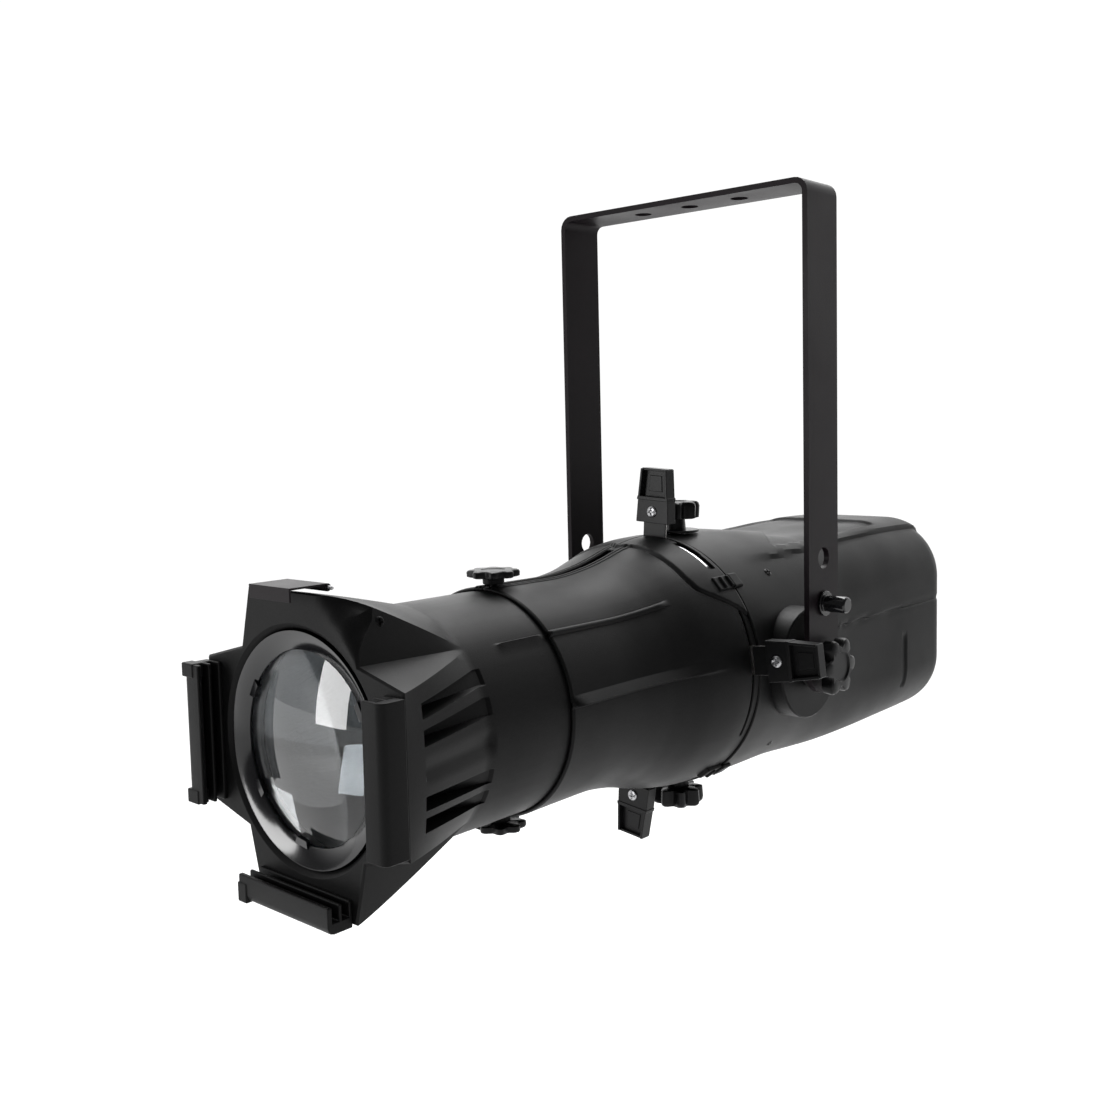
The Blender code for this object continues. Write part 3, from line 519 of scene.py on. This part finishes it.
def build_lens_tube():
    edge, face = cross_row(PLATE_Y + 0.0010), cross_row(PLATE_Y, 0.0010)
    outwards = [Vector((point.x, 0, point.z)).normalized() for point in face]
    rows = []
    for radius, y in ((TUBE_BORE, TUBE_END_Y), (TUBE_BORE, PLATE_Y + 0.0030),
                      (TUBE_BORE + 0.0025, PLATE_Y + 0.0004), (TUBE_BORE + 0.0031, PLATE_Y)):
        rows.append([out * radius + Vector((0, y, 0)) for out in outwards])
    for share in (0.15, 0.35, 0.5, 0.65, 0.8, 0.9):
        rows.append([start.lerp(end, share) - Vector((0, (end.y - PLATE_Y) * (share - share**3), 0))
                     for start, end in zip(rows[3], face)])
    rows += [face, edge]
    for y in merged(steps(PLATE_Y + 0.0040, CROSS_END_Y, 0.0035),
                    (SLOT_FRONT - 0.0002, SLOT_FRONT + 0.0002)):
        rows.append(cross_row(y))
    for y in steps(CROSS_END_Y + 0.0030, BARREL_FRONT + 0.002, 0.0022):
        rows.append(cross_row(y))
    rows += [cross_row(BARREL_FRONT + 0.0040), cross_row(TUBE_END_Y)]
    bm = bmesh.new()
    lifted = [[at(*tube_rib(point)) for point in row] for row in rows]
    grid = skin(bm, lifted, closed=True)
    count = len(grid[0])
    for i in range(count):
        j = (i + 1) % count
        bm.faces.new((grid[-1][i], grid[-1][j], grid[0][j], grid[0][i]))
    for sign in (1, -1):
        lathe(bm, ((sign * 0.0690, 0.0), (sign * 0.0690, 0.0024), (sign * 0.0739, 0.0024),
                   (sign * 0.0741, 0.0064), (sign * 0.0746, 0.0068), (sign * 0.0780, 0.0068),
                   (sign * 0.0780, 0.0)), "Z", (0.0, -0.2165, 0.0), 32)
    bmesh.ops.remove_doubles(bm, verts=bm.verts, dist=0.00001)
    tube = piece("lens_tube_casting", tidy_normals(bm), "cast_aluminium", "lens_tube", 28)
    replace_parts(tube, "lens_tube")
    add_screw("holder_screw", (0.0455, -0.3475, 0.0720), (1.0, -0.25, 0.1), 0.0030, "lens_tube",
              "cast_aluminium")


def add_screw(name, centre, outward, radius, body, finish="zinc_steel", height=0.0012):
    """A cross-head screw: domed head with a cross cut into it."""
    bm = bmesh.new()
    count = 48
    rows = []
    for share, rise in ((1.0, -0.6), (1.0, 0.3), (0.93, 0.7), (0.75, 0.93), (0.45, 1.0),
                        (0.20, 1.0), (0.02, 1.0)):
        row = []
        for i in range(count):
            angle = TAU * i / count
            x, y = share * radius * math.cos(angle), share * radius * math.sin(angle)
            arm = min(abs(x), abs(y)) < radius * 0.14 and max(abs(x), abs(y)) < radius * 0.62
            row.append(Vector((x, y, (rise - (0.8 if arm else 0.0)) * height)))
        rows.append(row)
    grid = skin(bm, rows, closed=True)
    bm.faces.new(grid[0])
    bm.faces.new(grid[-1])
    turn = Vector(outward).to_track_quat("Z", "Y").to_matrix().to_4x4()
    bm.transform(Matrix.Translation(at(*centre)) @ turn)
    return piece(name, tidy_normals(bm), finish, body, 40)


def build_lenses():
    crown, edge, back, rim = -0.3690, -0.3565, -0.3535, 0.0655
    dome = [(crown + (edge - crown) * (k / 24) ** 2, rim * k / 24) for k in range(25)]
    bm = lathe(bmesh.new(), [*dome, (back, rim), (back, 0.0)], count=128)
    lens = piece("front_lens_polished", tidy_normals(bm), "lens_glass", "lens_tube", 40)
    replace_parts(lens, "front_lens")
    front = [(-0.3390 + 0.0090 * (k / 16) ** 2, rim * k / 16) for k in range(17)]
    rear = [(-0.3180 - 0.0090 * (k / 16) ** 2, rim * k / 16) for k in range(16, -1, -1)]
    bm = lathe(bmesh.new(), front + rear, count=128)
    lens = piece("rear_lens_polished", tidy_normals(bm), "lens_glass", "lens_tube", 40)
    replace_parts(lens, "rear_lens")
    bm = lathe(bmesh.new(), ((-0.3665, 0.0655), (-0.3664, 0.0650), (-0.3629, 0.0549),
                             (-0.3625, 0.0545), (-0.3608, 0.0545), (-0.3569, 0.0655)), count=128)
    for degrees in (188.0, 237.0, 300.0, 60.0):
        tab = Matrix.Translation((0, 0, AXIS_Z)) @ Matrix.Rotation(math.radians(degrees), 4, "Y")
        block(bm, (-0.0042, -0.3640, 0.0520), (0.0042, -0.3612, 0.0560), tab, (1.3, 1.0))
    ring = piece("lens_retaining_ring_moulded", tidy_normals(bm), "ring_gloss", "lens_tube", 30)
    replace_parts(ring, "lens_retaining_ring")


CHANNEL_OUTLINE = (                 # out from the axis, along it; the outer front corner is round
    (0.0730, -0.3835), (0.0835, -0.3835), (0.0857, -0.3829), (0.0873, -0.3815), (0.0880, -0.3793),
    (0.0880, -0.3674), (0.0730, -0.3674), (0.0730, -0.3697), (0.0815, -0.3697), (0.0815, -0.3741),
    (0.0730, -0.3741), (0.0730, -0.3761), (0.0815, -0.3761), (0.0815, -0.3805), (0.0730, -0.3805),
)


def build_channels():
    """The frame channels, with the raised blocks at the ends of their front lips."""
    for name, turn, blocks in (("right", 0.0, ()), ("bottom", 90.0, (-1,)),
                               ("left", 180.0, (1, -1))):
        place = Matrix.Translation((0, 0, AXIS_Z)) @ Matrix.Rotation(math.radians(turn), 4, "Y")
        bm = bmesh.new()
        ends = (-0.0406, 0.0400) if name == "bottom" else (-0.0406, 0.0406)
        rows = [[place @ Vector((x, y, z)) for x, y in CHANNEL_OUTLINE] for z in ends]
        grid = skin(bm, rows, closed=True)
        bm.faces.new(grid[0])
        bm.faces.new(grid[1])
        for end in blocks:
            low, high = sorted((end * 0.0330, end * 0.0412))
            block(bm, (0.0775, -0.3841, low), (0.0887, -0.3768, high), place)
        channel = piece(f"frame_channel_{name}_casting", tidy_normals(bm), "cast_aluminium",
                        "lens_tube")
        rounded_edges(channel, 0.0008, 3)
        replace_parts(channel, f"frame_channel_{name}")


# ---- barrel

def hood_edge(degrees):
    """How far back the raised hood over the gate begins, at this angle from the top."""
    return curve_value(((0, -0.0930), (8, -0.0880), (30, -0.0885), (46, -0.0865), (53, -0.0745),
                        (60, -0.0585), (66, -0.0490)), degrees)


def barrel_radius(degrees, y):
    radius = curve_value(BARREL_PROFILE, y)
    radius += bead(degrees, y, BOLT_RIB, 0.0024, 1.7, BARREL_FRONT - 0.02, -0.1130, 0.012)
    for low in (3.2, 5.6):
        radius += bead(degrees, y, low, 0.0007, 0.7, BARREL_FRONT - 0.02, -0.0850, 0.008)
    if degrees < 68:
        start = hood_edge(degrees)
        radius += 0.0013 * smooth(y, start - 0.0008, start + 0.0012) * (1 - smooth(degrees, 64, 68))
        radius -= 0.0007 * (1 - smooth(abs(y - start + 0.0016), 0.0, 0.0014))
    ledge = min(1.0, max(0.0, (degrees - 79.5) / 4.5)) * (1 - smooth(degrees, 84.4, 85.4))
    if ledge:
        along = smooth(y, -0.2275, -0.2190) * (1 - smooth(y, -0.1500, -0.0770))
        radius += 0.0046 * ledge * along
    if 17 < degrees < 39 and -0.0635 < y < -0.0560:
        radius -= 0.0018
    collar = 1 - smooth(y, BARREL_FRONT, BARREL_FRONT + 0.0016)
    return radius - 0.0008 * collar


def build_barrel():
    angles = merged(steps(0, 180, 2.5), steps(1.8, 7.0, 0.3), steps(45.5, 50.5, 0.35),
                    steps(78, 87, 0.5), (16.8, 17.2, 38.8, 39.2), steps(50.5, 70, 0.6),
                    (29.0, 61.0, 119.0, 151.0), (2.2,), least=0.08)
    slots = {place: (y - 0.0014, y + 0.0014) for place, y in SHUTTER_Y.items()}
    places = merged(steps(BARREL_FRONT, BARREL_FRONT + 0.003, 0.0005),
                    steps(BARREL_FRONT, -0.1350, 0.0040), steps(-0.1350, -0.0950, 0.0018),
                    steps(-0.0950, BARREL_REAR, 0.0009),
                    *slots.values(), (-0.0636, -0.0634, -0.0561, -0.0559), least=0.00015)
    for side, sign in (("right", 1), ("left", -1)):
        def is_open(r, c, sign=sign):
            y = (places[r] + places[r + 1]) / 2
            angle = (angles[c] + angles[c + 1]) / 2
            across = 0.0727 * math.sin(math.radians(angle))
            if across < 0.0028 and -0.2205 < y < -0.1000:
                return True
            for place, (low, high) in slots.items():
                away = abs((SHUTTER_PLACE[place] - sign * angle + 180) % 360 - 180)
                if low < y < high and away < 29.0:
                    return True
            return False
        bm = bmesh.new()
        rows = []
        for y in places:
            rows.append([around(barrel_radius(a, y), sign * a, y) for a in angles])
        skin(bm, rows, skip=is_open)
        loose = [v for v in bm.verts if not v.link_faces]
        bmesh.ops.delete(bm, geom=loose, context="VERTS")
        outward_normals(bm)
        shell = piece(f"barrel_{side}_casting", bm, "cast_aluminium", "barrel", 30)
        wall = shell.modifiers.new("wall", "SOLIDIFY")
        wall.thickness, wall.offset = 0.0018, -1.0
        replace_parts(shell, f"barrel_{side}_shell")
    bm = bmesh.new()
    front, back, half = SEAM_CLIP
    for middle in SEAM_CLIP_PLACES:
        place = (Matrix.Translation((0, 0, AXIS_Z))
                 @ Matrix.Rotation(math.radians(middle), 4, "Y"))
        block(bm, (-half, front, 0.0870), (half, BARREL_REAR - 0.0006, 0.0921), place, (0.9, 0.94))
        block(bm, (-half, BARREL_REAR - 0.0010, 0.0914), (half, back, 0.0936), place, (0.85, 0.92))
        for bar in (front + 0.0060, front + 0.0140):
            block(bm, (-half * 0.8, bar, 0.0915), (half * 0.8, bar + 0.0030, 0.0938), place,
                  (0.9, 0.7))
    clips = piece("seam_clips", tidy_normals(bm), "cast_aluminium", "barrel")
    rounded_edges(clips, 0.0009, 3)
    bm = bmesh.new()
    rows = [[around(reach, a, y) for a in steps(18.5, 37.0, 1.0)]
            for y, reach in ((-0.0615, 0.0872), (-0.0612, 0.0892), (-0.0584, 0.0895),
                             (-0.0581, 0.0875))]
    skin(bm, rows)
    outward_normals(bm)
    strip = piece("guide_strip", bm, "zinc_steel", "barrel")
    solid = strip.modifiers.new("sheet", "SOLIDIFY")
    solid.thickness, solid.offset = 0.0005, -1.0


def outward_normals(bm):
    """Turns an open skin about the optical axis to face away from it."""
    bmesh.ops.recalc_face_normals(bm, faces=bm.faces)
    bm.normal_update()
    total = 0.0
    for face in bm.faces:
        middle = face.calc_center_median()
        total += face.normal.dot(Vector((middle.x, 0, middle.z - AXIS_Z)).normalized())
    if total < 0:
        bmesh.ops.reverse_faces(bm, faces=bm.faces)


# ---- housing

HOUSING = (                         # y, half width, top, bottom, corner radius
    (-0.0520, 0.0905, 0.0905, 0.0905, 0.0885), (-0.0150, 0.0905, 0.0902, 0.0905, 0.0870),
    (0.0250, 0.0885, 0.0862, 0.0875, 0.0760), (0.0550, 0.0855, 0.0830, 0.0868, 0.0640),
    (0.0850, 0.0832, 0.0802, 0.0862, 0.0540), (0.1300, 0.0824, 0.0815, 0.0857, 0.0500),
    (0.1800, 0.0820, 0.0826, 0.0845, 0.0480), (0.2380, 0.0815, 0.0820, 0.0832, 0.0470),
    (0.2480, 0.0805, 0.0808, 0.0820, 0.0465), (0.2535, 0.0780, 0.0785, 0.0795, 0.0450),
    (0.2565, 0.0745, 0.0750, 0.0760, 0.0430),
)


def housing_at(y):
    """Half width, top, bottom and corner radius of the housing here."""
    return [curve_value([(row[0], row[k]) for row in HOUSING], y) for k in range(1, 5)]


def housing_row(y):
    half, top, bottom, corner = housing_at(y)
    row = []
    for sx, sz in ((1, 1), (-1, 1), (-1, -1), (1, -1)):
        reach = top if sz > 0 else bottom
        start = {(1, 1): 0.0, (-1, 1): 0.25, (-1, -1): 0.5, (1, -1): 0.75}[(sx, sz)] * TAU
        flat = max(half - corner, 0.0)
        for k in range(41):
            angle = start + TAU / 4 * k / 40
            x = sx * flat + corner * math.cos(angle)
            z = sz * (reach - corner) + corner * math.sin(angle)
            row.append(Vector((x, y, z)))
        end = row[-1]
        if sx * sz > 0:
            row += [Vector((end.x * (1 - 2 * k / 30), y, end.z)) for k in range(1, 30)]
        else:
            below = -sz * ((bottom if sz > 0 else top) - corner)
            row += [Vector((end.x, y, end.z + (below - end.z) * k / 22)) for k in range(1, 22)]
    return row


def housing_relief(point):
    """Raised and sunk places on the housing's casting, as a move along the outward normal."""
    x, y, z = point
    rise = 0.0
    if z > 0.030:
        rise += 0.0030 * smooth(y, -0.0250, 0.0350) * (1 - smooth(abs(x), 0.0565, 0.0590))
        edge = 0.0240 + 1.05 * (0.0520 - min(abs(x), 0.0520))
        sunk = (smooth(y, edge, edge + 0.0060) * (1 - smooth(y, 0.1880, 0.1915))
                * (1 - smooth(abs(x), 0.0480, 0.0505)))
        rise -= 0.0028 * sunk
    if abs(x) > 0.06 and -0.052 < z < -0.010 and 0.1780 < y < 0.1900:
        rise -= 0.0014 * smooth(y, 0.1790, 0.1810) * (1 - smooth(y, 0.1850, 0.1890))
    if abs(z - SEAM_Z) < 0.0016 and abs(x) > 0.05 and y > 0.0300:
        rise -= 0.0009 * (1 - smooth(abs(z - SEAM_Z), 0.0004, 0.0014))
    return rise


def build_housing():
    places = merged(steps(HOUSING_FRONT, 0.0160, 0.0050), steps(0.0160, 0.0860, 0.0010),
                    steps(0.0860, 0.2380, 0.0050), steps(0.1780, 0.1910, 0.0007),
                    steps(0.2380, HOUSING_REAR, 0.0012), (HOUSING_FRONT + 0.001,), least=0.0004)
    rows = []
    for y in places:
        row = []
        for point in housing_row(y):
            out = Vector((point.x, 0, point.z)).normalized()
            lip = 0.0006 * (1 - smooth(y, HOUSING_FRONT, HOUSING_FRONT + 0.0008))
            row.append(at(*(point + out * (housing_relief(point) - lip))))
        rows.append(row)
    for name, keep in (("upper", 1), ("lower", -1)):
        bm = bmesh.new()
        skin(bm, rows, closed=True)
        cut_at = AXIS_Z + SEAM_Z + keep * 0.00003
        bmesh.ops.bisect_plane(bm, geom=bm.verts[:] + bm.edges[:] + bm.faces[:], dist=1e-6,
                               plane_co=(0, 0, cut_at), plane_no=(0, 0, -keep), clear_outer=True)
        outward_normals(bm)
        shell = piece(f"housing_{name}_casting", bm, "cast_aluminium", "housing", 30)
        wall = shell.modifiers.new("wall", "SOLIDIFY")
        wall.thickness, wall.offset = 0.0026, -1.0
        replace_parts(shell, f"housing_{name}_shell")
    for number, (x, y, z) in enumerate(((0.0665, -0.0035, 0.0625), (-0.0665, -0.0035, 0.0625),
                                        (0.0665, -0.0035, -0.0625), (-0.0665, -0.0035, -0.0625))):
        add_screw(f"housing_screw_{number + 1}", (x, y, z), (x, 0, z), 0.0032, "housing",
                  "black_plastic")


# ---- shutters and knobs

def build_grip(label):
    """A moulded grip: block with its screw, shelf, and a framed tab above."""
    place = (Matrix.Translation((0, SHUTTER_Y[label], AXIS_Z))
             @ Matrix.Rotation(math.radians(SHUTTER_TURN[label]), 4, "Y")
             @ Matrix.Translation((0, 0, SHUTTER_OUT[label])))
    bm = bmesh.new()
    block(bm, (-0.0098, -0.0010, 0.0885), (0.0098, 0.0010, 0.1030), place)
    block(bm, (-0.0142, -0.0044, 0.1010), (0.0142, 0.0050, 0.1176), place, (0.94, 1.0))
    block(bm, (-0.0138, -0.0052, 0.1172), (0.0138, 0.0054, 0.1198), place, (0.97, 0.96))
    block(bm, (-0.0122, -0.0008, 0.1190), (0.0122, 0.0024, 0.1400), place, (0.86, 1.0))
    for side in (-1, 1):
        lean = Matrix.Rotation(math.radians(-side * 5.0), 4, "Y")
        edge = place @ Matrix.Translation((side * 0.0122, 0, 0.1190)) @ lean
        block(bm, (-0.0009, -0.0050, 0.0), (0.0009, 0.0048, 0.0208), edge)
    block(bm, (-0.0110, -0.0036, 0.1384), (0.0110, 0.0044, 0.1402), place)
    block(bm, (-0.0060, -0.0014, 0.1235), (0.0060, -0.0004, 0.1350), place, (0.86, 1.0))
    grip = piece(f"shutter_grip_{label}_moulded", tidy_normals(bm), "black_plastic",
                 f"shutter_{label}")
    rounded_edges(grip, 0.0004, 2)
    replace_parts(grip, f"shutter_grip_{label}")
    front = place @ Vector((0.0, -0.0046, 0.1090))
    centre = (front.x, front.y, front.z - AXIS_Z)
    add_screw(f"grip_screw_{label}", centre, (0, -1, 0), 0.0040, f"shutter_{label}", height=0.0012)


def build_knobs():
    for side, sign in (("top", 1), ("bottom", -1)):
        bm = bmesh.new()
        lobed(bm, "Z", sign, (
            (0.0873, 0.0028, 0), (0.0915, 0.0028, 0), (0.0916, 0.0180, 0), (0.0919, 0.0183, 0),
            (0.0929, 0.0183, 0), (0.0932, 0.0180, 0), (0.0933, 0.0088, 0), (0.1012, 0.0082, 0),
            (0.1014, 0.0150, 0.0016), (0.1020, 0.0168, 0.0020), (0.1105, 0.0172, 0.0022),
            (0.1126, 0.0168, 0.0020), (0.1138, 0.0158, 0.0016), (0.1142, 0.0140, 0.0012),
            (0.1142, 0.0100, 0.0), (0.1134, 0.0090, 0.0), (0.1134, 0.0050, 0.0)),
            (0.0, -0.0255, 0.0), lobes=8, depth=1.4)
        name = f"rotation_lock_knob_{side}"
        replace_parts(piece(f"{name}_moulded", tidy_normals(bm), "black_plastic", name), name)
        bm = bmesh.new()
        lobed(bm, "Z", sign, (
            (0.0757, 0.0019, 0), (0.0784, 0.0019, 0), (0.0785, 0.0138, 0.0012),
            (0.0790, 0.0150, 0.0016), (0.0815, 0.0152, 0.0016), (0.0826, 0.0148, 0.0014),
            (0.0831, 0.0138, 0.0012), (0.0831, 0.0080, 0.0), (0.0826, 0.0072, 0.0),
            (0.0826, 0.0040, 0.0)), (0.0, -0.2165, 0.0), lobes=8, depth=1.3)
        name = f"focus_knob_{side}"
        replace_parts(piece(f"{name}_moulded", tidy_normals(bm), "black_plastic", name), name)
    for side, sign in (("right", 1), ("left", -1)):
        face = 0.1113
        bm = bmesh.new()
        lobed(bm, "X", sign, (
            (face, 0.0100, 0), (face + 0.0034, 0.0098, 0), (face + 0.0036, 0.0170, 0.0016),
            (face + 0.0044, 0.0185, 0.0021), (face + 0.0105, 0.0189, 0.0022),
            (face + 0.0122, 0.0182, 0.0019), (face + 0.0131, 0.0165, 0.0015),
            (face + 0.0131, 0.0110, 0.0), (face + 0.0120, 0.0100, 0.0),
            (face + 0.0120, 0.0060, 0.0)), (0.0, 0.0, 0.0), lobes=6, depth=2.2)
        name = f"tilt_lock_knob_{side}"
        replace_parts(piece(f"{name}_moulded", tidy_normals(bm), "black_plastic", name), name)


make_camera()
make_stage()
finish_cad_nodes()
build_lens_tube()
build_lenses()
build_channels()
build_barrel()
build_housing()
for shutter in SHUTTER_Y:
    build_grip(shutter)
build_knobs()
for cad_node in ("yoke", "rear_panel", "display_window", "power_inlet", "data_in_socket",
                 "data_out_socket", "fuse_holder", "frame_latch", "latch_pin"):
    refined(cad_node)
for cad_side in ("left", "right"):
    refined(f"pivot_boss_{cad_side}", 0.0014, 3)
    arm_screw = refined(f"arm_screw_{cad_side}", 0.0006, 3)
    arm_screw.data.materials[0] = FINISH["ring_gloss"]
    refined(f"friction_spacer_{cad_side}", 0.0006)
for number in range(1, 5):
    refined(f"menu_button_{number}", 0.0004)
